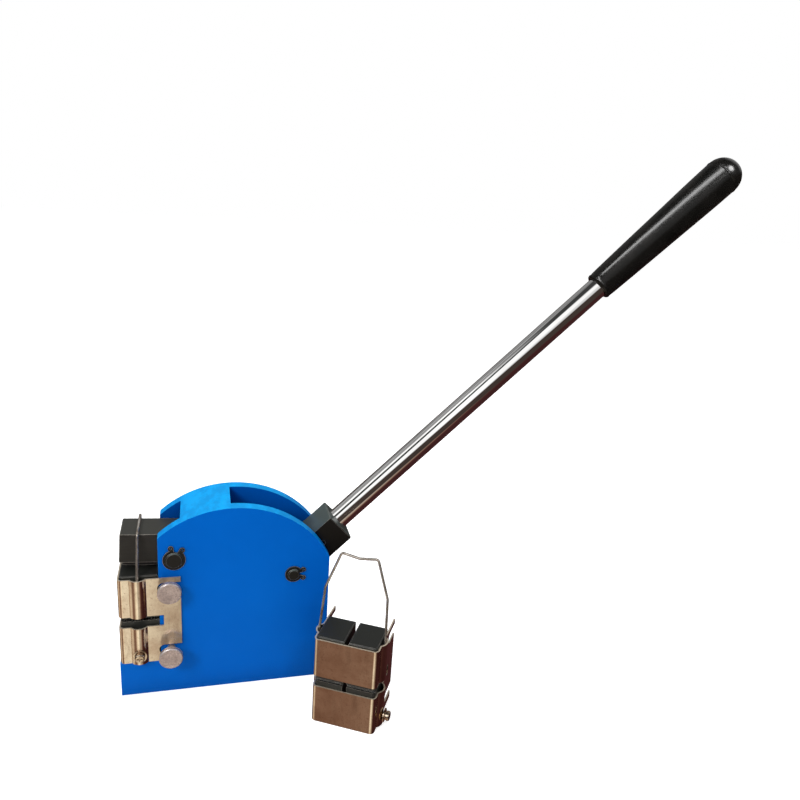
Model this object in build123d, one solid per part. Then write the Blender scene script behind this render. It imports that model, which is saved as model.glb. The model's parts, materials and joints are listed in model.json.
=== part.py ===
from build123d import *
import math
import os

# Hand-lever sheet-metal shrinker and stretcher, with a second jaw cartridge beside it.
# Millimetres. X runs from the mouth (negative) to the back, Y across the body, Z up.
# Origin: mid-plane of the body, floor level, at the front edge of the two side plates.

# ---- driving dimensions of the body ----
plate_thickness = 11.0
plate_gap = 38.0
body_height_centre = 94.3      # height of the centre of the rounded back
body_radius = 103.1            # radius of the rounded back
body_arc_x = 70.0
body_rear_x = 163.0
anvil_front_x = -38.0
anvil_height = 37.6
web_front_x = 20.2
web_rear_x = 67.1
web_bottom_z = 172.0
throat_block_depth = 22.0
throat_block_top = 126.0
spacer_front_x = 134.8
spacer_top_z = 103.0

# ---- pins, circlips and clearances ----
running_clearance = 0.05       # radial, on every turning fit
slip = 0.5                     # each side, between the side plates and the moving parts
ram_pin_x, ram_pin_z = 14.5, 147.0
ram_pin_radius = 8.0
lever_pin_x, lever_pin_z = 127.5, 122.5
lever_pin_radius = 6.0
pin_proud = 3.2                # pin end beyond the side plate
pin_chamfer = 1.0
circlip_thickness = 1.2
circlip_gap = 0.1              # between the clip and the plate
circlip_width = 2.5            # ring, outside the pin
circlip_ear_radius = 2.6
circlip_ear_hole = 0.9
circlip_ear_offset = 1.9       # ear centre outside the ring
circlip_ear_angle = 25.0       # degrees, each ear from the middle of the gap
groove_depth = 0.7
ram_clip_angle, lever_clip_angle = 78.0, 0.0   # where each clip's gap points
edge_break = 0.7               # chamfer on machined edges
through = 100.0                # reach of a cut that passes right through

# ---- ram ----
ram_rest_tilt = 3.1            # degrees, nose up
ram_nose_reach = 50.0          # pin axis to nose
ram_half = 17.0                # half its width
ram_top = 19.75                # above pin axis
ram_underside = 9.5            # below pin axis
ram_shoulder = 15.0            # where the top starts to fall and the belly reaches its first depth
ram_belly = 19.85
ram_belly_end = 40.0
ram_tail_underside = 24.85
ram_tail_top = 10.0
ram_tongue_width = 17.4
ram_tongue_start = 79.5
ram_tail_end = 104.5
pad_front, pad_rear = -47.0, -14.0
pad_half = 13.0
pad_underside = 14.85
pad_crown_rise = 0.8
thrust_washer_radius = 13.5
thrust_gap = 0.05              # between the washer and what it touches

# ---- lever ----
lever_rest_angle = 43.6        # degrees above horizontal
lever_bar_height = 32.0
lever_axis_offset = 3.0        # bar axis below the pin axis
rod_axis_offset = 2.0          # rod axis below the pin axis
lever_end = 63.4               # pin axis to the end face that takes the rod
lever_nose_centre = -14.0
fork_slot_width = 18.2
fork_slot_end = 10.0
roller_arm = 20.0
roller_radius = 8.0
roller_pin_radius = 4.0
rod_radius = 10.9
rod_depth = 34.0
rod_end_chamfer = 1.0
rod_end = 596.0
cross_pin_radius = 3.0
cross_pin_from_end = 24.0
cross_pin_shorter = 0.5        # each end, below the bar's side
grip_start = 419.6
grip_end = 606.8
grip_small_radius = 14.0
grip_large_radius = 18.9
grip_lip = 2.0
grip_swell = ((20.0, 1.0), (88.0, 3.0))   # (distance from the grip's start, radius gained)
grip_first_slope = 0.12        # at the rolled lip
grip_bore_gap = 0.5            # between the rod's end and the bottom of the bore
roller_side_gap = 0.3

# ---- return spring ----
spring_x = 54.0
spring_radius = 6.0
spring_wire_radius = 1.0
spring_turns = 6
spring_top_z = 182.0
spring_bottom_z = 152.0
spring_pocket_radius = 8.0
spring_seat_gap = 0.3
spring_seat_depth = 30.0

# ---- jaw cartridge, in its own frame: X as the body, Z = 0 at its underside ----
housing_height = 91.2
sheet = 1.5
housing_front_x = -37.5
housing_rear_x = 20.0
housing_inner_half = 30.15
bend_radius = 4.5
rib_x = -19.1
rib_outer_radius = 9.5
rib_crest = 35.65
mouth_bottom, mouth_top = 39.6, 51.2
mouth_rear_x = 3.8
notch_height = 11.0
notch_front_x = -1.4
screw_notch_z = (12.4, 80.7)
jaw_front_x = -35.7
jaw_rear_x = -0.6
jaw_outer_half = 28.6
lower_jaw_top = 45.0
upper_jaw_bottom = 48.0
upper_jaw_top = 93.5
tooth_pitch = 2.5
tooth_depth = 0.5
stretcher_gap = 0.6
shrinker_gap = 4.2
jaw_lift = 0.1                 # lower jaws above the housing's underside
jaw_side_slack = 0.6           # taken up by the jaws that stand further apart
jaw_edge_chamfer = 0.8
jaw_corner_radius = 3.6

# ---- wire bail ----
wire_radius = 1.25
leg_half = 32.7
hook_z = 62.0
hook_inner_half = 26.0
hook_hole_radius = 1.65
hook_hole_extra = 2.5          # hook hole beyond the wire's end
bail_elbow_radius = 3.0
fitted_lean = 0.8              # backwards, at each shoulder
fitted_dip = 0.95              # wire above the ram in the middle
fitted_shoulder = 1.5          # wire above the ram at the shoulders
fitted_shoulder_out = 3.7      # shoulders outside the ram
spare_lean = 0.152             # slope backwards
spare_knees = ((30.5, 132.5), (17.8, 168.5))
spare_dip_z = 166.0

# ---- jaw screws (M5) and thumb screws (M8) ----
jaw_screw_z = 9.9
jaw_screw_radius = 2.5
jaw_screw_tip = 27.0
jaw_screw_head_radius = 4.7
jaw_screw_head = 2.9
spare_backed_off = 1.8         # near screw of the second cartridge, not done up
jaw_screw_head_fillet = 1.4
jaw_screw_clearance = 0.2
screw_recess = (1.1, 5.4)      # width and length of each arm of the cross
screw_recess_depth = 1.6
flush_screw_proud = 0.4        # headless far screw beyond the rib
stack_gap = 0.02               # between washers, nuts and what they touch
flat_washer = (6.5, 1.0)       # radius, thickness
lock_washer = (4.3, 1.0)
lock_washer_split = 0.7
nut_flats = 8.0
nut_inner, nut_outer = 30.3, 32.9
jaw_pocket_radius = 3.2
jaw_pocket_depth = 4.6
thumb_x = 10.0
thumb_shank_radius = 4.0
thumb_head_radius = 11.0
thumb_head = 5.0
thumb_tip_gap = 0.5            # shank tip outside the plate's inner face
thumb_face_upper = 43.7        # knob face from the mid-plane
thumb_face_lower = 48.2

# ---- base mounting holes, tapped M12 from below ----
base_hole_radius = 5.1
base_hole_depth = 28.0
base_hole_x = (0.0, 130.0)

# ---- place of the second cartridge on the bench ----
spare_angle = 60.6
spare_front_x, spare_front_y = 166.7, -110.05

# ---- worked out from the above ----
half_gap = plate_gap / 2
half_body = half_gap + plate_thickness
inside_half = half_gap - slip


def box(x, y, z):
    """Box from three (low, high) pairs."""
    size = [high - low for low, high in (x, y, z)]
    centre = [(low + high) / 2 for low, high in (x, y, z)]
    return Pos(*centre) * Box(*size)


def rod_y(radius, x, z, y_low, y_high):
    """Cylinder along Y."""
    middle = (y_low + y_high) / 2
    return Pos(x, middle, z) * Rot(90, 0, 0) * Cylinder(radius, y_high - y_low)


def slab(outline, y_low, y_high):
    """Face drawn in the X-Z plane, made solid between two Y values."""
    plane = Plane(origin=(0, y_low, 0), x_dir=(1, 0, 0), z_dir=(0, -1, 0))
    return extrude(plane * outline, -(y_high - y_low))


def arc_height(x, radius=body_radius):
    """Height of the rounded back above a given x."""
    return body_height_centre + math.sqrt(radius**2 - (x - body_arc_x) ** 2)


def body_outline():
    """L-shaped foot, upright front edge, rounded back."""
    front_top = (0, arc_height(0))
    rear_top = (body_rear_x, arc_height(body_rear_x))
    crest = (body_arc_x, arc_height(body_arc_x))
    straight = Polyline(
        rear_top, (body_rear_x, 0), (anvil_front_x, 0), (anvil_front_x, anvil_height),
        (0, anvil_height), front_top,
    )
    return make_face([straight, ThreePointArc(front_top, crest, rear_top)])


def side_plate(side):
    """One flame-cut side plate; side is -1 (near) or +1 (far)."""
    low, high = sorted((side * half_gap, side * half_body))
    plate = slab(body_outline(), low, high)
    plate -= rod_y(ram_pin_radius + running_clearance, ram_pin_x, ram_pin_z, low, high)
    plate -= rod_y(lever_pin_radius + running_clearance, lever_pin_x, lever_pin_z, low, high)
    for z in screw_notch_z:
        plate -= rod_y(thumb_shank_radius + running_clearance, thumb_x, anvil_height + z, low, high)
    return plate


def between_plates(x, z):
    return box(x, (-half_gap, half_gap), z)


def top_web():
    """Block that ties the plates together; its top follows the rounded back."""
    envelope = slab(body_outline(), -half_gap, half_gap)
    web = envelope & between_plates((web_front_x, web_rear_x), (web_bottom_z, web_bottom_z + through))
    pocket_height = spring_top_z - web_bottom_z + spring_seat_gap
    pocket = Cylinder(spring_pocket_radius, pocket_height)
    return web - Pos(spring_x, 0, web_bottom_z + pocket_height / 2) * pocket


def base_block():
    base = between_plates((anvil_front_x, body_rear_x), (0, anvil_height))
    for x in base_hole_x:
        base -= Pos(x, 0, base_hole_depth / 2) * Cylinder(base_hole_radius, base_hole_depth)
    return base


def pin(radius, x, z):
    """Pivot pin with chamfered ends and a circlip groove near each end."""
    end = half_body + pin_proud
    body = rod_y(radius, x, z, -end, end)
    body = chamfer(body.edges().filter_by(GeomType.CIRCLE), pin_chamfer)
    for side in (-1, 1):
        start = half_body + circlip_gap / 2
        low, high = sorted((side * start, side * (start + circlip_gap + circlip_thickness)))
        groove = rod_y(radius + 1, x, z, low, high) - rod_y(radius - groove_depth, x, z, low, high)
        body -= groove
    return body


def circlip_pair(radius, x, z, gap_angle):
    """External circlips, one at each end of a pin, with two drilled ears at the gap."""
    inner = radius - groove_depth + stack_gap
    outer = radius + circlip_width
    reach = outer + circlip_ear_offset
    ring = Circle(outer)
    holes = Circle(inner)
    for offset in (-circlip_ear_angle, circlip_ear_angle):
        angle = math.radians(gap_angle + offset)
        centre = Pos(reach * math.cos(angle), reach * math.sin(angle))
        ring += centre * Circle(circlip_ear_radius)
        holes += centre * Circle(circlip_ear_hole)
    half_opening = circlip_ear_angle / 2
    rays = [math.radians(gap_angle - half_opening), math.radians(gap_angle + half_opening)]
    opening = [(2 * outer * math.cos(a), 2 * outer * math.sin(a)) for a in rays]
    ring -= make_face(Polyline((0, 0), opening[0], opening[1], (0, 0)))
    ring -= holes
    clips = []
    for side in (-1, 1):
        start = half_body + circlip_gap
        low, high = sorted((side * start, side * (start + circlip_thickness)))
        clips += slab(Pos(x, z) * ring, low, high).solids()
    return Compound(clips)


def pressing_pad():
    """Crowned pad under the ram's nose that bears on the jaws."""
    edge = pad_crown_rise - pad_underside
    crown = ThreePointArc((pad_front, edge), ((pad_front + pad_rear) / 2, -pad_underside), (pad_rear, edge))
    sides = Polyline((pad_rear, edge), (pad_rear, 0), (pad_front, 0), (pad_front, edge))
    return slab(make_face([crown, sides]), -pad_half, pad_half)


def ram():
    """Rocking ram: square nose over the jaws, tail that the lever's roller lifts."""
    outline = Polyline(
        (-ram_nose_reach, ram_top), (-ram_nose_reach, -ram_underside), (pad_rear, -ram_underside),
        (ram_shoulder, -ram_belly), (ram_belly_end, -ram_tail_underside),
        (ram_tail_end, -ram_tail_underside), (ram_tail_end, -ram_tail_top),
        (ram_tongue_start, -ram_tail_top), (ram_shoulder, ram_top), (-ram_nose_reach, ram_top),
    )
    body = slab(make_face(outline), -ram_half, ram_half)
    nose_edges = body.edges().filter_by(Axis.Y).group_by(Axis.X)[0]
    body = chamfer(nose_edges, edge_break)
    for side in (-1, 1):
        beside_tongue = sorted((side * ram_tongue_width / 2, side * through))
        body -= box((ram_tongue_start, through + ram_tail_end), beside_tongue, (-through, through))
    body += pressing_pad()
    body -= rod_y(ram_pin_radius + running_clearance, 0, 0, -half_gap, half_gap)
    body = Pos(ram_pin_x, 0, ram_pin_z) * Rot(0, ram_rest_tilt, 0) * body
    seat = Cylinder(spring_pocket_radius, spring_seat_depth)
    return body - Pos(spring_x, 0, spring_bottom_z - spring_seat_gap + spring_seat_depth / 2) * seat


def ram_thrust_washers():
    """Washers on the ram pin that centre the ram between the plates."""
    washers = []
    for side in (-1, 1):
        low, high = sorted((side * (ram_half + thrust_gap), side * (half_gap - thrust_gap)))
        washer = rod_y(thrust_washer_radius, ram_pin_x, ram_pin_z, low, high)
        washer -= rod_y(ram_pin_radius + running_clearance, ram_pin_x, ram_pin_z, low, high)
        washers += washer.solids()
    return Compound(washers)


def return_spring():
    """Compression spring between the top web and the ram's tail."""
    low = spring_bottom_z + spring_wire_radius
    height = spring_top_z - spring_bottom_z - 2 * spring_wire_radius
    path = Helix(height / spring_turns, height, spring_radius)
    section = Plane(origin=path @ 0, z_dir=path % 0) * Circle(spring_wire_radius)
    return Pos(spring_x, 0, low) * sweep(section, path=path)


# The lever's own frame: X along the rod away from the pin, Z square to it, origin on the pin axis.
lever_place = Pos(lever_pin_x, 0, lever_pin_z) * Rot(0, -lever_rest_angle, 0)


def lever_block():
    """Bar with a round forked nose that holds the roller, bored for the rod."""
    low = -lever_axis_offset - lever_bar_height / 2
    high = -lever_axis_offset + lever_bar_height / 2
    bar = box((lever_nose_centre, lever_end), (-inside_half, inside_half), (low, high))
    bar = chamfer(bar.edges().group_by(Axis.X)[-1], edge_break)
    bar += rod_y(lever_bar_height / 2, lever_nose_centre, -lever_axis_offset, -inside_half, inside_half)
    half_slot = fork_slot_width / 2
    bar -= box((-through, fork_slot_end), (-half_slot, half_slot), (-through, through))
    bar -= rod_y(lever_pin_radius + running_clearance, 0, 0, -half_gap, half_gap)
    bar -= rod_y(roller_pin_radius, -roller_arm, 0, -half_gap, half_gap)
    bore_start = lever_end - rod_depth
    bore = Cylinder(rod_radius, rod_depth)
    bar -= Pos(bore_start + rod_depth / 2, 0, -rod_axis_offset) * Rot(0, 90, 0) * bore
    bar -= cross_pin(0)
    return lever_place * bar


def cross_pin(shorter=cross_pin_shorter):
    """Pin that locks the rod in the block."""
    reach = inside_half - shorter
    return rod_y(cross_pin_radius, lever_end - cross_pin_from_end, -rod_axis_offset, -reach, reach)


def revolve_about_rod(outline):
    """Outline drawn as (distance along the rod, radius), turned about the rod's axis."""
    solid = revolve(make_face(outline), Axis.X)
    return Pos(0, 0, -rod_axis_offset) * solid


def lever_rod():
    start = lever_end - rod_depth
    small = rod_radius - rod_end_chamfer
    outline = Polyline(
        (start, 0), (start, small), (start + rod_end_chamfer, rod_radius),
        (rod_end - rod_end_chamfer, rod_radius), (rod_end, small), (rod_end, 0), (start, 0),
    )
    return lever_place * (revolve_about_rod(outline) - cross_pin(0))


def lever_grip():
    """Moulded grip: rolled lip at the rod, slow swell, round end."""
    dome_centre = grip_end - grip_large_radius
    bore_end = rod_end + grip_bore_gap
    start = (grip_start, rod_radius)
    lip = (grip_start, grip_small_radius - grip_lip)
    lip_top = (grip_start + grip_lip, grip_small_radius)
    swell = [
        lip_top,
        *((grip_start + along, grip_small_radius + gain) for along, gain in grip_swell),
        (dome_centre, grip_large_radius),
    ]
    tip = (grip_end, 0)
    dome_mid = (
        dome_centre + grip_large_radius * math.cos(math.pi / 4),
        grip_large_radius * math.sin(math.pi / 4),
    )
    outline = [
        Line(start, lip),
        RadiusArc(lip, lip_top, grip_lip),
        Spline(*swell, tangents=[(1, grip_first_slope), (1, 0)]),
        ThreePointArc(swell[-1], dome_mid, tip),
        Polyline(tip, (bore_end, 0), (bore_end, rod_radius), start),
    ]
    return lever_place * revolve_about_rod(outline)


def lift_roller():
    half = fork_slot_width / 2 - roller_side_gap
    roller = rod_y(roller_radius, -roller_arm, 0, -half, half)
    roller = chamfer(roller.edges().filter_by(GeomType.CIRCLE), edge_break)
    roller -= rod_y(roller_pin_radius + running_clearance, -roller_arm, 0, -half, half)
    return lever_place * roller


def roller_pin():
    reach = inside_half - cross_pin_shorter
    return lever_place * rod_y(roller_pin_radius, -roller_arm, 0, -reach, reach)


def thumb_screw(side, z, face):
    """M8 thumb screw with a smooth disc head; face is the knob's outer face from the mid-plane."""
    neck = face - thumb_head
    low, high = sorted((side * neck, side * face))
    head = rod_y(thumb_head_radius, thumb_x, z, low, high)
    head = chamfer(head.edges().filter_by(GeomType.CIRCLE), edge_break)
    low, high = sorted((side * (half_gap + thumb_tip_gap), side * (neck + edge_break)))
    shank = rod_y(thumb_shank_radius, thumb_x, z, low, high)
    return head + shank


def rib_bar(radius, height):
    """Two upright cylinders whose outer sides are the half-round ribs of the wings."""
    centre = rib_crest - rib_outer_radius
    bars = Part()
    for side in (-1, 1):
        bars += Pos(rib_x, side * centre, height / 2) * Cylinder(radius, height)
    return bars


def jaw_housing():
    """Folded sheet housing: front web, two wings with ribs, mouth slot, notches for the thumb screws."""
    outer_half = housing_inner_half + sheet
    outer = box((housing_front_x, housing_rear_x), (-outer_half, outer_half), (0, housing_height))
    outer = fillet(outer.edges().filter_by(Axis.Z).group_by(Axis.X)[0], bend_radius)
    outer += rib_bar(rib_outer_radius, housing_height)
    inner = box(
        (housing_front_x + sheet, housing_rear_x + 1),
        (-housing_inner_half, housing_inner_half), (-1, housing_height + 1),
    )
    inner = fillet(inner.edges().filter_by(Axis.Z).group_by(Axis.X)[0], bend_radius - sheet)
    shell = outer - inner - Pos(0, 0, -1) * rib_bar(rib_outer_radius - sheet, housing_height + 2)
    wide = 2 * rib_crest
    shell -= box((housing_front_x - 1, mouth_rear_x), (-wide, wide), (mouth_bottom, mouth_top))
    half_notch = notch_height / 2
    for z in screw_notch_z:
        shell -= rod_y(half_notch, notch_front_x + half_notch, z, -wide, wide)
        notch_x = (notch_front_x + half_notch, housing_rear_x + 1)
        shell -= box(notch_x, (-wide, wide), (z - half_notch, z + half_notch))
    return shell - rod_y(jaw_screw_radius + jaw_screw_clearance, rib_x, jaw_screw_z, -wide, wide)


def teeth(z, y):
    """Row of V grooves along Y, cut into a jaw's gripping face at height z."""
    grooves = Part()
    tooth_side = tooth_depth * math.sqrt(2)
    x = jaw_front_x + tooth_pitch
    while x < jaw_rear_x - 1:
        bar = Rot(0, 45, 0) * Box(tooth_side, y[1] - y[0], tooth_side)
        grooves += Pos(x, (y[0] + y[1]) / 2, z) * bar
        x += tooth_pitch
    return grooves


def jaw(side, gap, z, tooth_z):
    """One jaw half; side is -1 or +1, gap is the space between the two halves."""
    offset = max(0.0, (gap - stretcher_gap) / 2 - jaw_side_slack)
    y = sorted((side * gap / 2, side * (jaw_outer_half + offset)))
    half = box((jaw_front_x, jaw_rear_x), y, z)
    front_edges = half.edges().filter_by(Axis.Z).group_by(Axis.X)[0]
    half = fillet(front_edges.sort_by(Axis.Y)[0 if side < 0 else -1], jaw_corner_radius)
    rim = half.faces().sort_by(Axis.Z)[-1 if tooth_z == z[0] else 0].edges()
    half = chamfer(rim, jaw_edge_chamfer)
    return half - teeth(tooth_z, y)


def lower_jaw(side, gap):
    half = jaw(side, gap, (jaw_lift, lower_jaw_top), lower_jaw_top)
    y = sorted((side * (jaw_outer_half - jaw_pocket_depth), side * through))
    return half - rod_y(jaw_pocket_radius, rib_x, jaw_screw_z, *y)


def upper_jaw(side, gap):
    half = jaw(side, gap, (upper_jaw_bottom, upper_jaw_top), upper_jaw_bottom)
    y = sorted((side * (hook_inner_half - hook_hole_extra), side * through))
    return half - rod_y(hook_hole_radius, rib_x, hook_z, *y)


def wire(points):
    """Round wire along a path with rounded bends, kept symmetric about the mid-plane."""
    path = FilletPolyline(*points, radius=bail_elbow_radius)
    section = Plane(origin=path @ 0, z_dir=path % 0) * Circle(wire_radius)
    return sweep(section, path=path)


def bail_path(shoulders):
    """Hook, leg, then the given points of one side, mirrored for the other side."""
    side = [(rib_x, hook_inner_half, hook_z), (rib_x, leg_half, hook_z)] + shoulders
    other = [(x, -y, z) for x, y, z in reversed(side)]
    return side, other


def fitted_bail():
    """Bail hooked over the ram: straight legs, cross wire dipped onto the ram."""
    tilt = math.radians(ram_rest_tilt)
    along = ram_pin_x - rib_x
    top = ram_pin_z - anvil_height + ram_top / math.cos(tilt) + along * math.tan(tilt) + wire_radius
    shoulder_half = ram_half + fitted_shoulder_out
    near = (rib_x, leg_half, housing_height)
    shoulder = (rib_x + fitted_lean, shoulder_half, top + fitted_shoulder)
    side, other = bail_path([near, shoulder])
    return wire(side + [(rib_x + fitted_lean, 0, top + fitted_dip)] + other)


def spare_bail():
    """Bail in its free shape: knuckled legs that lean back, cross wire with a shallow dip."""
    knees = ((leg_half, housing_height + 1),) + spare_knees
    shoulders = [(rib_x + spare_lean * (z - housing_height), half, z) for half, z in knees]
    side, other = bail_path(shoulders)
    dip = (rib_x + spare_lean * (spare_dip_z - housing_height), 0, spare_dip_z)
    return wire(side + [dip] + other)


def both_sides(make, *settings):
    return Compound([solid for side in (-1, 1) for solid in make(side, *settings).solids()])


def jaw_screw(side, backed_off):
    """M5 screw through the rib into a pocket in the lower jaw: pan head near, headless far."""
    if side > 0:
        return rod_y(jaw_screw_radius, rib_x, jaw_screw_z, jaw_screw_tip, rib_crest + flush_screw_proud)
    seat = rib_crest + flat_washer[1] + lock_washer[1] + 3 * stack_gap + backed_off
    face = seat + jaw_screw_head
    screw = rod_y(jaw_screw_head_radius, rib_x, jaw_screw_z, -face, -seat)
    outer_edge = screw.edges().filter_by(GeomType.CIRCLE).sort_by(Axis.Y)[0]
    screw = fillet(outer_edge, jaw_screw_head_fillet)
    screw += rod_y(jaw_screw_radius, rib_x, jaw_screw_z, -seat - 1, -jaw_screw_tip - backed_off)
    recess_y = (-face - 1, screw_recess_depth - face)
    for width, height in (screw_recess, screw_recess[::-1]):
        x = (rib_x - width / 2, rib_x + width / 2)
        screw -= box(x, recess_y, (jaw_screw_z - height / 2, jaw_screw_z + height / 2))
    return screw


def washer_under_head(size, low):
    """Washer under the near screw's head; size is (radius, thickness), low its distance from mid-plane."""
    radius, thickness = size
    body = rod_y(radius, rib_x, jaw_screw_z, -low - thickness, -low)
    return body - rod_y(jaw_screw_radius + jaw_screw_clearance, rib_x, jaw_screw_z, -low - thickness, -low)


def jaw_flat_washer(backed_off):
    return washer_under_head(flat_washer, rib_crest + stack_gap + backed_off / 2)


def jaw_lock_washer(backed_off):
    low = rib_crest + flat_washer[1] + 2 * stack_gap + backed_off
    radius = lock_washer[0]
    split = Pos(rib_x + radius, -low, jaw_screw_z) * Rot(25, 0, 0)
    return washer_under_head(lock_washer, low) - split * Box(2 * radius, 2 * radius, lock_washer_split)


def jaw_nut(side):
    y = sorted((side * nut_inner, side * nut_outer))
    hexagon = RegularPolygon(nut_flats / 2, 6, major_radius=False, rotation=30)
    body = slab(Pos(rib_x, jaw_screw_z) * hexagon, *y)
    return body - rod_y(jaw_screw_radius + stack_gap, rib_x, jaw_screw_z, *y)


def cartridge_parts(gap, bail, backed_off):
    return {
        "jaw_housing": jaw_housing(),
        "lower_jaw_near": lower_jaw(-1, gap),
        "lower_jaw_far": lower_jaw(1, gap),
        "upper_jaw_near": upper_jaw(-1, gap),
        "upper_jaw_far": upper_jaw(1, gap),
        "wire_bail": bail,
        "jaw_screws": both_sides(jaw_screw, backed_off),
        "jaw_flat_washer": jaw_flat_washer(backed_off),
        "jaw_lock_washer": jaw_lock_washer(backed_off),
        "jaw_nuts": both_sides(jaw_nut),
    }


def frame_parts():
    return {
        "side_plate_near": side_plate(-1),
        "side_plate_far": side_plate(1),
        "top_web": top_web(),
        "base_block": base_block(),
        "throat_block": between_plates((0, throat_block_depth), (anvil_height, throat_block_top)),
        "rear_spacer": between_plates((spacer_front_x, body_rear_x), (anvil_height, spacer_top_z)),
        "ram_pin": pin(ram_pin_radius, ram_pin_x, ram_pin_z),
        "lever_pin": pin(lever_pin_radius, lever_pin_x, lever_pin_z),
        "ram_pin_circlips": circlip_pair(ram_pin_radius, ram_pin_x, ram_pin_z, ram_clip_angle),
        "lever_pin_circlips": circlip_pair(lever_pin_radius, lever_pin_x, lever_pin_z, lever_clip_angle),
        "ram_thrust_washers": ram_thrust_washers(),
        "return_spring": return_spring(),
    }


def moving_parts():
    upper_z = anvil_height + screw_notch_z[1]
    lower_z = anvil_height + screw_notch_z[0]
    return {
        "ram": ram(),
        "lever_block": lever_block(),
        "lever_rod": lever_rod(),
        "lever_grip": lever_grip(),
        "rod_cross_pin": lever_place * cross_pin(),
        "lift_roller": lift_roller(),
        "roller_pin": roller_pin(),
        "thumb_screw_near_upper": thumb_screw(-1, upper_z, thumb_face_upper),
        "thumb_screw_near_lower": thumb_screw(-1, lower_z, thumb_face_lower),
        "thumb_screw_far_upper": thumb_screw(1, upper_z, thumb_face_upper),
        "thumb_screw_far_lower": thumb_screw(1, lower_z, thumb_face_lower),
    }


def main():
    os.makedirs("parts", exist_ok=True)
    nodes = frame_parts() | moving_parts()
    fitted_place = Pos(0, 0, anvil_height)
    for name, shape in cartridge_parts(stretcher_gap, fitted_bail(), 0.0).items():
        nodes[name] = fitted_place * shape
    front = Pos(-housing_front_x, 0, 0)
    spare_place = Pos(spare_front_x, spare_front_y, 0) * Rot(0, 0, spare_angle) * front
    for name, shape in cartridge_parts(shrinker_gap, spare_bail(), spare_backed_off).items():
        nodes["spare_" + name] = spare_place * shape
    for name, shape in nodes.items():
        export_step(shape, f"parts/{name}.step")


main()
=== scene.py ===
import json
import math

import bmesh
import bpy
from mathutils import Matrix, Vector


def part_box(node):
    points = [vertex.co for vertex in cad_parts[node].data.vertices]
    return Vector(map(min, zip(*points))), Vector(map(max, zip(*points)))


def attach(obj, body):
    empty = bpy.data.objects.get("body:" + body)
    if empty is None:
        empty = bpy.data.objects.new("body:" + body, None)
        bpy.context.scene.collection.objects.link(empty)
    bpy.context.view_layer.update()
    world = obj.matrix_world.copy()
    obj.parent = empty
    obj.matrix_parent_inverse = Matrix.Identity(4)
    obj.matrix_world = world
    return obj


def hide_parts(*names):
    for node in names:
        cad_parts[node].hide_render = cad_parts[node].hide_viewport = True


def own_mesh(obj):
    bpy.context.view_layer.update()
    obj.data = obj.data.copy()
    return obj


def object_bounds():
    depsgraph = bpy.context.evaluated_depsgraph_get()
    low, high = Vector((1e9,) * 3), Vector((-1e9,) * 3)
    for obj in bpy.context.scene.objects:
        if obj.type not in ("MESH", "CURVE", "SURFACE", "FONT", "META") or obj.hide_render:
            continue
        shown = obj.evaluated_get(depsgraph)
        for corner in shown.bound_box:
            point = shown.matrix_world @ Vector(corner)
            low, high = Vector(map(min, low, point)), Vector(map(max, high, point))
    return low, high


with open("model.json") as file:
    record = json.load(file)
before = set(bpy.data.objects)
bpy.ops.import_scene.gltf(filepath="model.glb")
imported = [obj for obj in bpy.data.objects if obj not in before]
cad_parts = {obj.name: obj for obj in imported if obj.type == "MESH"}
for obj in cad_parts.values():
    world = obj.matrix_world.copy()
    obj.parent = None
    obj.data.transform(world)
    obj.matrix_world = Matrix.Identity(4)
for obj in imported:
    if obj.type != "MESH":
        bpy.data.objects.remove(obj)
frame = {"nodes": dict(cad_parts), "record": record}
cad_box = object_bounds()

MM = 0.001

# ---- camera, metres and degrees ----
CAMERA_AT = Vector((0.0432, -0.6734, 0.5131))
CAMERA_AZIMUTH = 15.72          # heading, turned from +Y towards +X
CAMERA_PITCH = 17.49            # looking down
CAMERA_ROLL = 4.07              # picture turned about the viewing direction
CAMERA_LENS = 33.07             # mm
CAMERA_SENSOR = 36.0            # mm wide

# ---- colours, linear RGB ----
BLUE = (0.0, 0.116, 0.55)
BLUE_DEEP = (0.0, 0.102, 0.50)
# Painted highlight: the top blues, for faces turned up as if lit from above; the pale one marks real ground
# patches.
LIT_TOP_BLUE = (0.0, 0.26, 0.64)
LIT_TOP_BLUE_PALE = (0.0, 0.34, 0.78)
BLUE_SHADE = (0.0, 0.050, 0.26)
# Edges: partly paint wear, partly painted highlight.
BLUE_EDGE_WEAR_AND_HIGHLIGHT = (0.01, 0.32, 0.80)
OXIDE = (0.010, 0.008, 0.007)
OXIDE_LIGHT = (0.024, 0.021, 0.018)
# Painted highlight: the oxide's colour for faces turned up, as if lit from above.
OXIDE_LIT_TOP = (0.036, 0.036, 0.031)
LEVER_OXIDE = (0.0015, 0.0012, 0.0010)
LEVER_OXIDE_LIGHT = (0.005, 0.004, 0.0035)
# Painted highlight: the darker copy's colour for faces turned up.
LEVER_OXIDE_LIT_TOP = (0.060, 0.078, 0.076)
# Edges: partly rubbed bare steel, partly painted highlight.
RUBBED_EDGE_AND_HIGHLIGHT = (0.60, 0.56, 0.50)
JAW_BLACK = (0.014, 0.014, 0.012)
JAW_BLACK_LIGHT = (0.036, 0.037, 0.032)
# Painted highlight: the jaws' colour for faces turned up.
JAW_LIT_TOP = (0.015, 0.016, 0.014)
CHROME = (0.93, 0.93, 0.92)
CHROME_HAZE = (0.82, 0.81, 0.80)
GRIP_BLACK = (0.004, 0.004, 0.0035)
GRIP_BLACK_LIGHT = (0.009, 0.008, 0.007)
NICKEL = (0.74, 0.64, 0.52)
NICKEL_DARK = (0.56, 0.44, 0.34)
NICKEL_STAIN = (0.30, 0.20, 0.14)
NICKEL_EDGE = (0.60, 0.52, 0.40)
ZINC = (0.56, 0.45, 0.42)
ZINC_DARK = (0.31, 0.24, 0.225)
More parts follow.
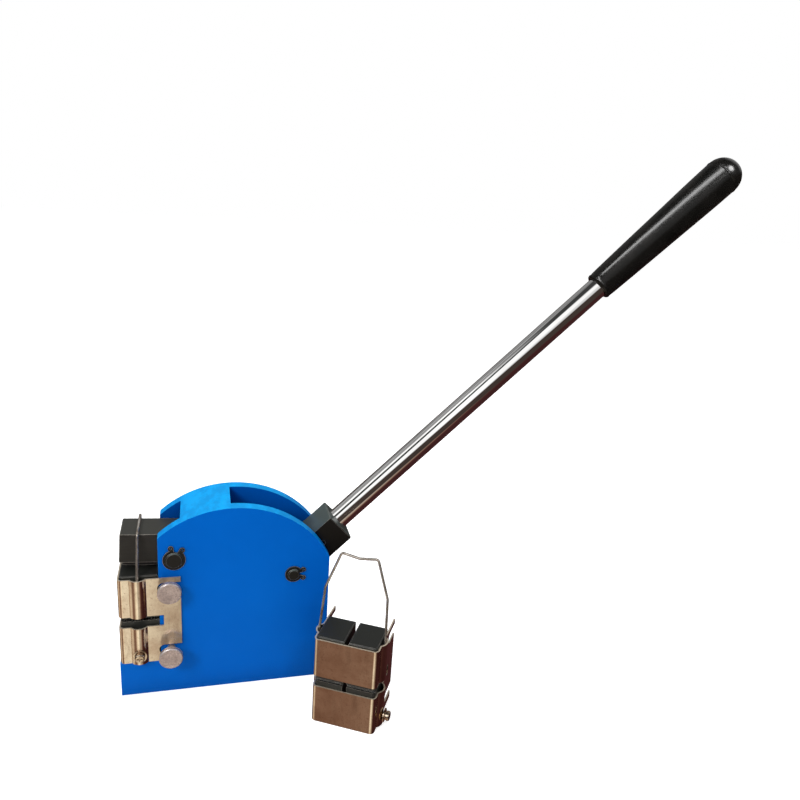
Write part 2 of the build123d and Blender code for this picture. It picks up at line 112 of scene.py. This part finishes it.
# Painted highlight on the zinc heads' upper rims.
ZINC_RIM_HIGHLIGHT = (1.0, 1.0, 1.0)
WIRE = (0.82, 0.77, 0.70)
WIRE_STAIN = (0.34, 0.27, 0.21)
YELLOW_ZINC = (0.72, 0.60, 0.46)
YELLOW_ZINC_DARK = (0.40, 0.28, 0.20)
FLOOR_WHITE = (0.86, 0.86, 0.86)
FLOOR_PALE = (0.88, 0.88, 0.88)
HEAD_GLOW = (0.60, 0.54, 0.44)

# ---- light ----
AMBIENT = 0.50                  # how strongly the white room lights matt surfaces
FLOOR_LIFT = 0.58               # lifts the floor to the white of the room behind it
KEY_AT, KEY_AIM, KEY_SIZE = (-0.85, -1.05, 1.15), (0.08, 0.0, 0.12), 0.55
TOP_AT, TOP_AIM, TOP_SIZE = (0.10, 0.15, 1.6), (0.1, 0.0, 0.1), 1.0
STRIP_AT, STRIP_AIM, STRIP_WIDTH, STRIP_LENGTH = (0.12, -0.40, 1.53), (0.50, 0.0, 0.48), 0.20, 1.0
TIP_AT, TIP_AIM, TIP_SIZE = (0.86, -0.60, 1.26), (0.55, 0.0, 0.52), 0.50

# Only pieces in these slots show the key light in their reflections.
GLINTING_SLOTS = ("zinc_plate", "yellow_zinc", "wire_steel", "jaw_steel", "housing_plate", "black_steel")

# What shiny surfaces mirror, by heading: degrees from -Y, positive towards +X.
# Above the horizon, windows and dark gaps between them; below it, a brown bench with a lit front.
ROOM_ABOVE = [
    (-180, 0.26), (-152, 0.30), (-145, 0.12), (-138, 0.46), (-126, 0.44), (-120, 0.08),
    (-114, 0.46), (-107, 0.40), (-102, 0.04), (-96, 1.10), (-74, 1.15), (-69, 0.03),
    (-53, 0.03), (-47, 1.15), (-18, 1.15), (0, 0.75), (40, 0.60), (65, 0.26),
    (92, 0.20), (104, 0.95), (134, 0.95), (146, 0.20), (180, 0.26),
]
ROOM_BELOW = [
    (-180, (0.09, 0.030, 0.027)), (-125, (0.20, 0.12, 0.09)), (-100, (0.85, 0.72, 0.56)),
    (-75, (0.80, 0.66, 0.50)), (-60, (0.26, 0.15, 0.105)), (-45, (0.26, 0.15, 0.105)),
    (-41, (0.34, 0.22, 0.16)), (-34, (0.66, 0.52, 0.39)), (-25, (1.15, 1.02, 0.80)),
    (-10, (1.28, 1.22, 1.02)), (0, (0.58, 0.50, 0.40)), (12, (0.58, 0.50, 0.40)),
    (24, (0.26, 0.14, 0.10)), (34, (0.07, 0.025, 0.022)), (60, (0.05, 0.016, 0.016)),
    (180, (0.07, 0.022, 0.024)),
]
ROOM_HORIZON = (0.055, 0.040, 0.034)
ROOM_CEILING = (0.05, 0.05, 0.05)
HORIZON_TOP, HORIZON_LOW = (0.19, 0.29), (-0.44, -0.34)   # sine of elevation where the band fades
CEILING_FADE = (0.76, 0.84)                               # and where the ceiling takes over

# ---- lever and grip, mm along the rod from the lever's pin ----
LEVER_ANGLE = 43.6              # above horizontal at rest
ROD_DROP = 2.0                  # rod axis below the pin
GRIP_START, GRIP_END = 419.6, 606.8
GRIP_BORE = 10.95
GRIP_SMALL, GRIP_LARGE = 14.0, 18.9
GRIP_SWELL = ((20.0, 1.0), (88.0, 3.0))   # distance from the grip's start, radius gained
SWELL_START, SWELL_SLOPE = 2.0, 0.12      # where the swell begins, and how steeply
LIP_LENGTH, LIP_RISE, LIP_INSET = 2.4, 2.5, 2.0
LIP_STEP, LIP_END = 15, 105               # degrees round the rolled lip
NECK_AT, NECK_DEPTH = 4.2, 0.10
MOUTH_DEPTH = 14.0
MOUTH_CHAMFER = ((0.8, 0.0), (0.2, 0.4))  # distance from the grip's start, radius gained
PARTING_RING = (                          # distance before the dome, radius gained
    (1.9, 0.0), (1.7, 0.35), (1.2, 0.40), (1.0, 0.0), (0.8, -0.35), (0.4, -0.30), (0.2, 0.0))
RING_ROOM = 2.4                           # the swell stops this far before the dome
FLANK_START, FLANK_STEPS = 6.0, 44
DOME_STEP = 5                             # degrees
GRIP_SIDES = 72

# ---- return spring ----
SPRING_TURNS = 6
SPRING_WIRE = 1.0               # wire radius, mm
SPRING_ENDS = 0.25              # share of the rise that is eased, which sets the end turns closer
SPRING_STEPS = 24               # rings of vertices in a turn
WIRE_SIDES = 10

# ---- carried-over CAD nodes ----
BEVEL_MM = {"body_paint": 0.9, "black_steel": 0.5, "jaw_steel": 0.25, "housing_plate": 0.3,
            "zinc_plate": 0.3, "yellow_zinc": 0.2}
BEVEL_ANGLE = math.radians(40)
SMOOTH_ANGLE = math.radians(28)
# These nodes take the darker black copy, whose faces turned up are much paler.
DARKER_BLACK_NODES = ("lever_block", "ram_pin", "lever_pin", "ram_pin_circlips", "lever_pin_circlips",
              "ram_thrust_washers", "rod_cross_pin")

# ---- floor, metres ----
FLOOR_SIZE = 12.0
FLOOR_CENTRE_X = 0.1
FLOOR_GAP = 0.0002              # keeps the floor just under the part's feet


# ======================================================================= node helpers
class Shader:
    """A material with its Principled shader, and short calls that add and join nodes.

    Input names are written with underscores for spaces, as in Base_Color.
    """

    def __init__(self, name):
        self.material = bpy.data.materials.new(name)
        self.material.use_nodes = True
        self.tree = self.material.node_tree
        self.principled = self.tree.nodes["Principled BSDF"]
        coordinates = self.add("ShaderNodeTexCoord")
        self.position = coordinates.outputs["Object"]

    def add(self, kind, settings=None, **inputs):
        """Adds a node, sets its properties and feeds its inputs."""
        node = self.tree.nodes.new(kind)
        for key, value in (settings or {}).items():
            setattr(node, key, value)
        for key, value in inputs.items():
            self.feed(node.inputs[key.replace("_", " ")], value)
        return node

    def feed(self, socket, value):
        """Joins another node's output to the socket, or gives the socket a fixed value."""
        if isinstance(value, bpy.types.NodeSocket):
            self.tree.links.new(value, socket)
        elif socket.type == "RGBA" and len(value) == 3:
            socket.default_value = (*value, 1.0)
        else:
            socket.default_value = value

    def set(self, **inputs):
        """Feeds inputs of the Principled shader."""
        for key, value in inputs.items():
            self.feed(self.principled.inputs[key.replace("_", " ")], value)

    def stretched(self, scale):
        """Object position, scaled per axis, so that a noise becomes a grain."""
        mapping = self.add("ShaderNodeMapping", Vector=self.position, Scale=scale)
        return mapping.outputs["Vector"]

    def along_lever(self, length, width):
        """Object position turned to the lever's axis, for grain of a length and width in metres."""
        turn = (0.0, -math.radians(LEVER_ANGLE), 0.0)
        mapping = self.add(
            "ShaderNodeMapping", {"vector_type": "TEXTURE"},
            Vector=self.position, Rotation=turn, Scale=(length, width, width))
        return mapping.outputs["Vector"]

    def noise(self, scale, detail=2.0, rough=0.5, vector=None):
        where = vector or self.position
        node = self.add("ShaderNodeTexNoise", Vector=where, Scale=scale, Detail=detail, Roughness=rough)
        return node.outputs["Fac"]

    def span(self, value, low, high, to_low=0.0, to_high=1.0):
        """Stretches low..high to to_low..to_high, clamped."""
        node = self.add("ShaderNodeMapRange", Value=value)
        limits = {"From Min": low, "From Max": high, "To Min": to_low, "To Max": to_high}
        for key, number in limits.items():
            node.inputs[key].default_value = number
        return node.outputs["Result"]

    def math(self, operation, first, second=0.0):
        node = self.add("ShaderNodeMath", {"operation": operation})
        self.feed(node.inputs[0], first)
        self.feed(node.inputs[1], second)
        return node.outputs[0]

    def mix(self, factor, first, second):
        node = self.add("ShaderNodeMix", {"data_type": "RGBA"})
        self.feed(node.inputs[0], factor)
        self.feed(node.inputs[6], first)
        self.feed(node.inputs[7], second)
        return node.outputs[2]

    def edges(self, radius, soft=0.35):
        """0 on flat faces, rising to 1 where the surface turns sharply within radius metres."""
        bevel = self.add("ShaderNodeBevel", {"samples": 6}, Radius=radius)
        geometry = self.add("ShaderNodeNewGeometry")
        turn = self.add("ShaderNodeVectorMath", {"operation": "DOT_PRODUCT"})
        self.feed(turn.inputs[0], bevel.outputs["Normal"])
        self.feed(turn.inputs[1], geometry.outputs["Normal"])
        return self.span(turn.outputs["Value"], 1.0, 1.0 - soft)

    def upwards(self):
        """How far the surface faces up, -1 to 1."""
        geometry = self.add("ShaderNodeNewGeometry")
        axes = self.add("ShaderNodeSeparateXYZ", Vector=geometry.outputs["Normal"])
        return axes.outputs["Z"]

    def bumps(self, *layers):
        """Stacks (height, strength, distance in metres) layers onto the normal."""
        normal = None
        for height, strength, distance in layers:
            bump = self.add("ShaderNodeBump", Height=height, Strength=strength, Distance=distance)
            if normal is not None:
                self.feed(bump.inputs["Normal"], normal)
            normal = bump.outputs["Normal"]
        self.set(Normal=normal)


# ======================================================================= materials
def blue_enamel():
    """Sprayed enamel on flame-cut plate: orange peel, tone drift, painted highlight on top faces, paler edges
    partly worn and partly painted highlight, painted shade in the slots.
    """
    look = Shader("blue_enamel")
    drift = look.noise(9.0, 3.0)
    peel = look.noise(520.0, 2.0)
    waves = look.noise(70.0, 4.0, 0.6)
    body = look.mix(look.span(drift, 0.35, 0.65), BLUE_DEEP, BLUE)
    ground = look.span(look.noise(1.0, 6.0, 0.7, look.stretched((90.0, 45.0, 45.0))), 0.44, 0.60)
    # Painted highlight: faces turned up get the lighter top blue; the ground pattern between the two is real
    # grinding.
    body = look.mix(look.span(look.upwards(), 0.35, 0.95), body, look.mix(ground, LIT_TOP_BLUE, LIT_TOP_BLUE_PALE))
    # Painted shade: occluded places such as the slots darken towards the shade blue.
    open_sky = look.add("ShaderNodeAmbientOcclusion", {"samples": 4}, Distance=0.05).outputs["AO"]
    body = look.mix(look.span(open_sky, 0.15, 0.75), BLUE_SHADE, body)
    # Paler blue along the edges, broken up by noise: partly paint wear, partly painted edge highlight.
    edge = look.edges(0.0014)
    broken = look.span(look.noise(160.0, 3.0), 0.35, 0.60)
    edge_wear_and_highlight = look.math("MULTIPLY", edge, broken)
    look.set(Base_Color=look.mix(look.math("MULTIPLY", edge_wear_and_highlight, 0.7), body, BLUE_EDGE_WEAR_AND_HIGHLIGHT))
    look.set(Roughness=look.span(waves, 0.3, 0.7, 0.30, 0.44))
    look.set(Specular_IOR_Level=0.30, Specular_Tint=(0.0, 0.55, 1.0))
    look.bumps((peel, 0.10, 0.0004), (waves, 0.08, 0.0014))
    return look.material


def black_oxide(name, dark, light, top, grain, rough, edge_reach):
    """Machined steel, oil-blackened: cutter grain, oily patches, faces turned up paler as painted highlight,
    bright edges partly rubbed and partly painted highlight.
    """
    look = Shader(name)
    patches = look.noise(28.0, 5.0, 0.62)
    lines = look.noise(1.0, 3.0, 0.6, look.stretched(grain))
    tone = look.span(look.math("ADD", patches, look.math("MULTIPLY", lines, 0.5)), 0.55, 1.0)
    # The bright edge line is partly rubbed bare steel, partly painted highlight, broken up by noise.
    rubbed_and_lit_spots = look.span(look.noise(200.0, 3.0), 0.30, 0.50, 0.3, 1.0)
    edge = look.math("MULTIPLY", look.edges(edge_reach, 0.25), rubbed_and_lit_spots)
    # Painted highlight: faces turned up take the paler top colour, as if lit from above, patchy by noise.
    facing_up = look.span(look.upwards(), 0.45, 0.70)
    painted_top_light = look.math("MULTIPLY", facing_up, look.span(patches, 0.25, 0.6, 0.7, 1.0))
    body = look.mix(painted_top_light, look.mix(tone, dark, light), top)
    look.set(Base_Color=look.mix(look.math("MULTIPLY", edge, 0.8), body, RUBBED_EDGE_AND_HIGHLIGHT))
    look.set(Metallic=look.math("MULTIPLY", edge, 0.6), Specular_IOR_Level=0.35)
    look.set(Roughness=look.span(patches, 0.3, 0.7, rough, rough + 0.16))
    look.bumps((lines, 0.22, 0.00008), (look.noise(900.0, 2.0), 0.12, 0.0001))
    return look.material


def chrome_plate():
    """Hard chrome over ground bar: mirror, with faint lengthwise polishing and haze."""
    look = Shader("chrome_plate")
    haze = look.noise(22.0, 3.0)
    polish = look.noise(1.0, 3.0, 0.6, look.along_lever(0.12, 0.0009))
    look.set(Base_Color=look.mix(look.span(haze, 0.3, 0.7), CHROME, CHROME_HAZE))
    look.set(Metallic=1.0, Roughness=look.span(polish, 0.3, 0.75, 0.02, 0.06))
    look.bumps((polish, 0.05, 0.00004),)
    return look.material


def grip_plastic():
    """Injection-moulded black grip: glossy, faint flow marks and lengthwise scuffs."""
    look = Shader("grip_plastic")
    flow = look.noise(40.0, 3.0, 0.6)
    scuff = look.noise(1.0, 3.0, 0.7, look.along_lever(0.010, 0.0011))
    look.set(Base_Color=look.mix(look.span(flow, 0.35, 0.7), GRIP_BLACK, GRIP_BLACK_LIGHT))
    look.set(Roughness=look.span(scuff, 0.35, 0.75, 0.17, 0.25), Specular_IOR_Level=0.18)
    look.bumps((flow, 0.06, 0.0008), (scuff, 0.025, 0.00005))
    return look.material


def nickel_sheet(name, grain):
    """Satin nickel plate on cold-rolled sheet: rolling grain, stain clouds and smears, duller cut edges."""
    look = Shader(name)
    clouds = look.noise(38.0, 6.0, 0.62)
    smears = look.noise(1.0, 4.0, 0.65, look.stretched((70.0, 70.0, 24.0)))
    lines = look.noise(1.0, 3.0, 0.6, look.stretched(grain))
    specks = look.span(look.noise(420.0, 2.0), 0.60, 0.70)
    body = look.mix(look.span(clouds, 0.40, 0.66), NICKEL, NICKEL_DARK)
    body = look.mix(look.math("MULTIPLY", look.span(smears, 0.52, 0.70), 0.45), body, NICKEL_STAIN)
    body = look.mix(look.math("MULTIPLY", specks, 0.30), body, NICKEL_STAIN)
    edge = look.math("MULTIPLY", look.edges(0.0005), 0.6)
    cut = look.span(look.upwards(), 0.60, 0.85)
    bare = look.math("MAXIMUM", edge, look.math("MULTIPLY", cut, 0.7))
    look.set(Base_Color=look.mix(bare, body, NICKEL_EDGE))
    look.set(Metallic=look.span(cut, 0.0, 1.0, 1.0, 0.55))
    smeared = look.span(smears, 0.3, 0.7, 0.08, 0.19)
    look.set(Roughness=look.math("ADD", smeared, look.span(lines, 0.3, 0.7, -0.02, 0.03)))
    look.bumps((lines, 0.14, 0.00004), (clouds, 0.09, 0.0010))
    return look.material


def zinc_plate():
    """Bright zinc on turned steel: mottled bloom on the faces, painted white highlight on the upper rims.

    A glow that only reflections see makes the heads show pale in the sheet behind them.
    """
    look = Shader("zinc_plate")
    bloom = look.add("ShaderNodeTexVoronoi", Vector=look.position, Scale=620.0).outputs["Distance"]
    cloud = look.noise(110.0, 4.0, 0.6)
    tone = look.span(look.math("ADD", look.math("MULTIPLY", bloom, 0.6), cloud), 0.5, 1.1)
    # Painted highlight: white on edges that face up.
    rim = look.math("MULTIPLY", look.edges(0.0016, 0.12), look.span(look.upwards(), 0.02, 0.35))
    look.set(Base_Color=look.mix(rim, look.mix(tone, ZINC, ZINC_DARK), ZINC_RIM_HIGHLIGHT), Metallic=0.6)
    look.set(Roughness=look.span(cloud, 0.3, 0.7, 0.22, 0.38))
    look.bumps((bloom, 0.12, 0.0001), (cloud, 0.08, 0.0003))
    mirrored = look.add("ShaderNodeLightPath").outputs["Is Glossy Ray"]
    look.set(Emission_Color=HEAD_GLOW, Emission_Strength=look.math("MULTIPLY", mirrored, 0.45))
    return look.material


def yellow_zinc():
    """Passivated fasteners: drift from straw to brown."""
    look = Shader("yellow_zinc")
    drift = look.noise(260.0, 4.0, 0.6)
    look.set(Base_Color=look.mix(look.span(drift, 0.35, 0.65), YELLOW_ZINC, YELLOW_ZINC_DARK), Metallic=1.0)
    look.set(Roughness=look.span(drift, 0.3, 0.7, 0.18, 0.30))
    look.bumps((look.noise(700.0, 2.0), 0.10, 0.0001),)
    return look.material


def spring_wire():
    """Cold-drawn wire: draw marks along the length, brownish in places."""
    look = Shader("spring_wire")
    stain = look.noise(80.0, 4.0, 0.6)
    look.set(Base_Color=look.mix(look.span(stain, 0.35, 0.7), WIRE, WIRE_STAIN), Metallic=0.85)
    look.set(Roughness=look.span(stain, 0.3, 0.7, 0.10, 0.22))
    look.bumps((look.noise(1500.0, 2.0), 0.10, 0.00005),)
    return look.material


def pale_floor():
    """Plain white studio floor with the faintest paper grain, lifted to white for the camera only."""
    look = Shader("pale_floor")
    grain = look.noise(350.0, 3.0)
    look.set(Base_Color=look.mix(look.span(grain, 0.3, 0.7), FLOOR_WHITE, FLOOR_PALE))
    look.set(Roughness=0.85, Specular_IOR_Level=0.1)
    seen = look.add("ShaderNodeLightPath").outputs["Is Camera Ray"]
    look.set(Emission_Color=(1.0, 1.0, 1.0), Emission_Strength=look.math("MULTIPLY", seen, FLOOR_LIFT))
    return look.material


MATERIALS = {
    "body_paint": blue_enamel(),
    "black_steel": black_oxide(
        "black_steel", OXIDE, OXIDE_LIGHT, OXIDE_LIT_TOP, (60.0, 1500.0, 1500.0), 0.30, 0.0011),
    "lever_steel": black_oxide(
        "lever_steel", LEVER_OXIDE, LEVER_OXIDE_LIGHT, LEVER_OXIDE_LIT_TOP, (1500.0, 1500.0, 60.0), 0.26, 0.0006),
    "jaw_steel": black_oxide(
        "jaw_steel", JAW_BLACK, JAW_BLACK_LIGHT, JAW_LIT_TOP, (1500.0, 60.0, 1500.0), 0.36, 0.0005),
    "rod_chrome": chrome_plate(),
    "grip_plastic": grip_plastic(),
    "housing_plate": nickel_sheet("housing_plate", (1200.0, 1200.0, 30.0)),
    "zinc_plate": zinc_plate(),
    "wire_steel": spring_wire(),
    "yellow_zinc": yellow_zinc(),
}


# ======================================================================= carried-over CAD nodes
def dress(node, slot):
    """Gives a CAD node its material, smooth shading split at real corners, and eased edges."""
    obj = frame["nodes"][node]
    obj.data.materials.clear()
    obj.data.materials.append(MATERIALS[slot])
    obj.data.polygons.foreach_set("use_smooth", [True] * len(obj.data.polygons))
    obj.data.set_sharp_from_angle(angle=SMOOTH_ANGLE)
    if slot in BEVEL_MM:
        bevel = obj.modifiers.new("eased_edges", "BEVEL")
        bevel.width = BEVEL_MM[slot] * MM
        bevel.segments = 2
        bevel.limit_method = "ANGLE"
        bevel.angle_limit = BEVEL_ANGLE
        bevel.harden_normals = True
        bevel.use_clamp_overlap = True


for subpart in frame["record"]["subparts"]:
    dress(subpart["node"], subpart["material_slot"])
for node in DARKER_BLACK_NODES:
    frame["nodes"][node].data.materials[0] = MATERIALS["lever_steel"]


# ======================================================================= pieces built here
def join_rings(mesh, rings):
    """Skins the gaps between closed rings of vertices."""
    for near, far in zip(rings, rings[1:]):
        count = len(near)
        for side in range(count):
            after = (side + 1) % count
            mesh.faces.new((near[side], near[after], far[after], far[side]))


def add_piece(name, mesh, slot, body, replaced):
    """Turns a finished bmesh into a smooth piece that rides a body in place of a CAD node."""
    bmesh.ops.recalc_face_normals(mesh, faces=mesh.faces)
    data = bpy.data.meshes.new(name)
    mesh.to_mesh(data)
    mesh.free()
    data.polygons.foreach_set("use_smooth", [True] * len(data.polygons))
    data.materials.append(MATERIALS[slot])
    piece = bpy.data.objects.new(name, data)
    bpy.context.collection.objects.link(piece)
    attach(piece, body)
    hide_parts(replaced)
    return piece


# ======================================================================= grip
def lever_pin_at():
    """Middle of the lever's pin, in metres."""
    joints = frame["record"]["behaviour"]["joints"]
    lever_swing = next(joint for joint in joints if joint["name"] == "lever_swing")
    return Vector(lever_swing["pos_m"])


def swell_radius(along):
    """Grip radius at a distance from its start: one smooth curve through the swell's points."""
    dome = GRIP_END - GRIP_LARGE - GRIP_START
    points = [(SWELL_START, 0.0), *GRIP_SWELL, (dome, GRIP_LARGE - GRIP_SMALL)]
    slopes = [SWELL_SLOPE]
    for before, after in zip(points, points[2:]):
        slopes.append((after[1] - before[1]) / (after[0] - before[0]))
    slopes.append(0.0)
    for index, (first, last) in enumerate(zip(points, points[1:])):
        if along <= last[0]:
            break
    length = last[0] - first[0]
    share = min(max((along - first[0]) / length, 0.0), 1.0)
    rest = 1 - share
    gain = (first[1] * (1 + 2 * share) * rest ** 2 + last[1] * share ** 2 * (3 - 2 * share)
            + length * (slopes[index] * share * rest ** 2 - slopes[index + 1] * share ** 2 * rest))
    return GRIP_SMALL + gain


def grip_profile():
    """(along, radius) pairs in mm: bore mouth, rolled lip, neck, swell, parting ring, dome."""
    dome_at = GRIP_END - GRIP_LARGE
    profile = [(GRIP_START + MOUTH_DEPTH, GRIP_BORE)]
    for inwards, gained in MOUTH_CHAMFER:
        profile.append((GRIP_START + inwards, GRIP_BORE + gained))
    for degrees in range(0, LIP_END + 1, LIP_STEP):
        angle = math.radians(degrees)
        lip_along = LIP_LENGTH * (1 - math.cos(angle))
        profile.append((GRIP_START + lip_along, GRIP_SMALL - LIP_INSET + LIP_RISE * math.sin(angle)))
    profile.append((GRIP_START + NECK_AT, swell_radius(NECK_AT) - NECK_DEPTH))
    flank_end = dome_at - GRIP_START - RING_ROOM
    for step in range(FLANK_STEPS + 1):
        along = FLANK_START + (flank_end - FLANK_START) * step / FLANK_STEPS
        profile.append((GRIP_START + along, swell_radius(along)))
    for back, proud in PARTING_RING:
        profile.append((dome_at - back, GRIP_LARGE + proud))
    for degrees in range(0, 91, DOME_STEP):
        angle = math.radians(degrees)
        profile.append((dome_at + GRIP_LARGE * math.sin(angle), GRIP_LARGE * math.cos(angle)))
    return profile


def make_grip():
    """Turns the profile about the rod's axis into one closed-ended skin."""
    turn = Matrix.Rotation(math.radians(-LEVER_ANGLE), 4, "Y")
    place = Matrix.Translation(lever_pin_at()) @ turn @ Matrix.Translation((0.0, 0.0, -ROD_DROP * MM))
    mesh = bmesh.new()
    rings = []
    for along, radius in grip_profile()[:-1]:
        ring = []
        for side in range(GRIP_SIDES):
            angle = math.tau * side / GRIP_SIDES
            point = Vector((along, radius * math.cos(angle), radius * math.sin(angle))) * MM
            ring.append(mesh.verts.new(place @ point))
        rings.append(ring)
    join_rings(mesh, rings)
    tip = mesh.verts.new(place @ Vector((GRIP_END * MM, 0.0, 0.0)))
    for side in range(GRIP_SIDES):
        mesh.faces.new((rings[-1][side], rings[-1][(side + 1) % GRIP_SIDES], tip))
    return add_piece("moulded_grip", mesh, "grip_plastic", "lever", "lever_grip")


# ======================================================================= return spring
def make_spring():
    """Coil between the ram's tail and the web, end turns set closer."""
    low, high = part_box("return_spring")
    centre = (low + high) / 2
    upwards = Vector((0, 0, 1))
    wire = SPRING_WIRE * MM
    radius = (high.x - low.x) / 2 - wire
    bottom, top = low.z + wire, high.z - wire
    steps = SPRING_STEPS * SPRING_TURNS
    mesh = bmesh.new()
    rings = []
    for step in range(steps + 1):
        share = step / steps
        angle = math.tau * SPRING_TURNS * share
        eased = 0.5 * (1 - math.cos(math.pi * share))
        height = bottom + (top - bottom) * (SPRING_ENDS * eased + (1 - SPRING_ENDS) * share)
        outward = Vector((math.cos(angle), math.sin(angle), 0.0))
        middle = Vector((centre.x, centre.y, height)) + outward * radius
        ring = []
        for side in range(WIRE_SIDES):
            turn = math.tau * side / WIRE_SIDES
            ring.append(mesh.verts.new(middle + wire * (outward * math.cos(turn) + upwards * math.sin(turn))))
        rings.append(ring)
    join_rings(mesh, rings)
    mesh.faces.new(rings[0][::-1])
    mesh.faces.new(rings[-1])
    spring = add_piece("coil_spring", mesh, "wire_steel", "frame", "return_spring")
    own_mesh(spring)


grip = make_grip()
make_spring()


# ======================================================================= studio
def make_floor():
    """Wide pale floor under the part, left out of what shiny surfaces mirror."""
    height = cad_box[0].z - FLOOR_GAP
    bpy.ops.mesh.primitive_plane_add(size=FLOOR_SIZE, location=(FLOOR_CENTRE_X, 0.0, height))
    floor = bpy.context.object
    floor.name = "studio_floor"
    floor.data.materials.append(pale_floor())
    floor.visible_glossy = False


def make_light(name, at, aim, size, power, length=None, mirrored=True, only=()):
    """Soft area light, a strip if it has a length.

    Unless mirrored, it stays out of reflections. With pieces in only, it is nothing but a glint on them.
    """
    data = bpy.data.lights.new(name, "AREA")
    data.shape = "RECTANGLE" if length else "DISK"
    data.size = length or size
    data.size_y = size
    data.energy = power
    light = bpy.data.objects.new(name, data)
    light.location = at
    light.rotation_mode = "QUATERNION"
    light.rotation_quaternion = (Vector(aim) - Vector(at)).to_track_quat("-Z", "Y")
    light.visible_glossy = mirrored
    if only:
        lit = bpy.data.collections.new(f"{name}_lit")
        for piece in only:
            lit.objects.link(piece)
        light.light_linking.receiver_collection = lit
        light.visible_diffuse = False
    bpy.context.collection.objects.link(light)


def heading_ramp(tree, heading, stops):
    """Adds a ramp of colour by heading to the tree; stops are (degrees, grey or colour)."""
    ramp = tree.nodes.new("ShaderNodeValToRGB")
    ramp.color_ramp.interpolation = "EASE"
    elements = ramp.color_ramp.elements
    while len(elements) < len(stops):
        elements.new(0.5)
    for element, (degrees, colour) in zip(elements, stops):
        element.position = degrees / 360 + 0.5
        element.color = (*colour, 1.0) if isinstance(colour, tuple) else (colour, colour, colour, 1.0)
    tree.links.new(heading, ramp.inputs["Fac"])
    return ramp.outputs["Color"]


def make_world():
    """White to the camera and to matt surfaces; shiny surfaces mirror a darker room with windows."""
    world = bpy.data.worlds.new("studio")
    world.use_nodes = True
    tree = world.node_tree
    tree.nodes.clear()

    def add(kind, *inputs, **settings):
        node = tree.nodes.new(kind)
        for key, value in settings.items():
            setattr(node, key, value)
        for socket, value in zip(node.inputs, inputs):
            if isinstance(value, bpy.types.NodeSocket):
                tree.links.new(value, socket)
            elif value is not None:
                socket.default_value = value
        return node

    def blend(factor, first, second):
        node = tree.nodes.new("ShaderNodeMix")
        node.data_type = "RGBA"
        for index, value in ((0, factor), (6, first), (7, second)):
            if isinstance(value, bpy.types.NodeSocket):
                tree.links.new(value, node.inputs[index])
            else:
                node.inputs[index].default_value = (*value, 1.0)
        return node.outputs[2]

    where = add("ShaderNodeTexCoord").outputs["Generated"]
    axes = add("ShaderNodeSeparateXYZ", where)
    front = add("ShaderNodeMath", axes.outputs["Y"], -1.0, operation="MULTIPLY").outputs[0]
    turn = add("ShaderNodeMath", axes.outputs["X"], front, operation="ARCTAN2").outputs[0]
    heading = add("ShaderNodeMapRange", turn, -math.pi, math.pi).outputs[0]
    above = heading_ramp(tree, heading, ROOM_ABOVE)
    below = heading_ramp(tree, heading, ROOM_BELOW)
    high = add("ShaderNodeMapRange", axes.outputs["Z"], *HORIZON_TOP).outputs[0]
    low = add("ShaderNodeMapRange", axes.outputs["Z"], *HORIZON_LOW).outputs[0]
    lower_room = blend(low, below, ROOM_HORIZON)
    roof = add("ShaderNodeMapRange", axes.outputs["Z"], *CEILING_FADE).outputs[0]
    room = add("ShaderNodeBackground", blend(roof, blend(high, lower_room, above), ROOM_CEILING))
    ambient = add("ShaderNodeBackground", (1.0, 1.0, 1.0, 1.0), AMBIENT)
    backdrop = add("ShaderNodeBackground", (1.0, 1.0, 1.0, 1.0))
    rays = add("ShaderNodeLightPath")
    lit = add("ShaderNodeMixShader", rays.outputs["Is Glossy Ray"], ambient.outputs[0], room.outputs[0])
    seen = add("ShaderNodeMixShader", rays.outputs["Is Camera Ray"], lit.outputs[0], backdrop.outputs[0])
    add("ShaderNodeOutputWorld", seen.outputs[0])
    bpy.context.scene.world = world


def make_camera():
    """The photograph's camera: placed, turned and rolled as the camera values say."""
    azimuth = math.radians(CAMERA_AZIMUTH)
    pitch = math.radians(CAMERA_PITCH)
    forward = Vector((
        math.sin(azimuth) * math.cos(pitch),
        math.cos(azimuth) * math.cos(pitch),
        -math.sin(pitch),
    ))
    data = bpy.data.cameras.new("camera")
    data.lens = CAMERA_LENS
    data.sensor_width = CAMERA_SENSOR
    camera = bpy.data.objects.new("camera", data)
    camera.location = CAMERA_AT
    camera.rotation_mode = "QUATERNION"
    level = forward.to_track_quat("-Z", "Y")
    roll = Matrix.Rotation(math.radians(-CAMERA_ROLL), 3, forward).to_quaternion()
    camera.rotation_quaternion = roll @ level
    bpy.context.collection.objects.link(camera)
    bpy.context.scene.camera = camera


glinting = [frame["nodes"][subpart["node"]] for subpart in frame["record"]["subparts"]
            if subpart["material_slot"] in GLINTING_SLOTS]
make_floor()
make_world()
make_light("key_softbox", KEY_AT, KEY_AIM, KEY_SIZE, power=14.0, mirrored=False)
make_light("hardware_glint", KEY_AT, KEY_AIM, KEY_SIZE, power=15.0, only=glinting)
make_light("top_softbox", TOP_AT, TOP_AIM, TOP_SIZE, power=14.0, mirrored=False)
make_light("grip_strip", STRIP_AT, STRIP_AIM, STRIP_WIDTH, power=19.0, length=STRIP_LENGTH, only=[grip])
make_light("tip_glint", TIP_AT, TIP_AIM, TIP_SIZE, power=26.0, only=[grip])
make_camera()

settings = bpy.context.scene.view_settings
settings.view_transform = "Standard"
settings.look = "None"
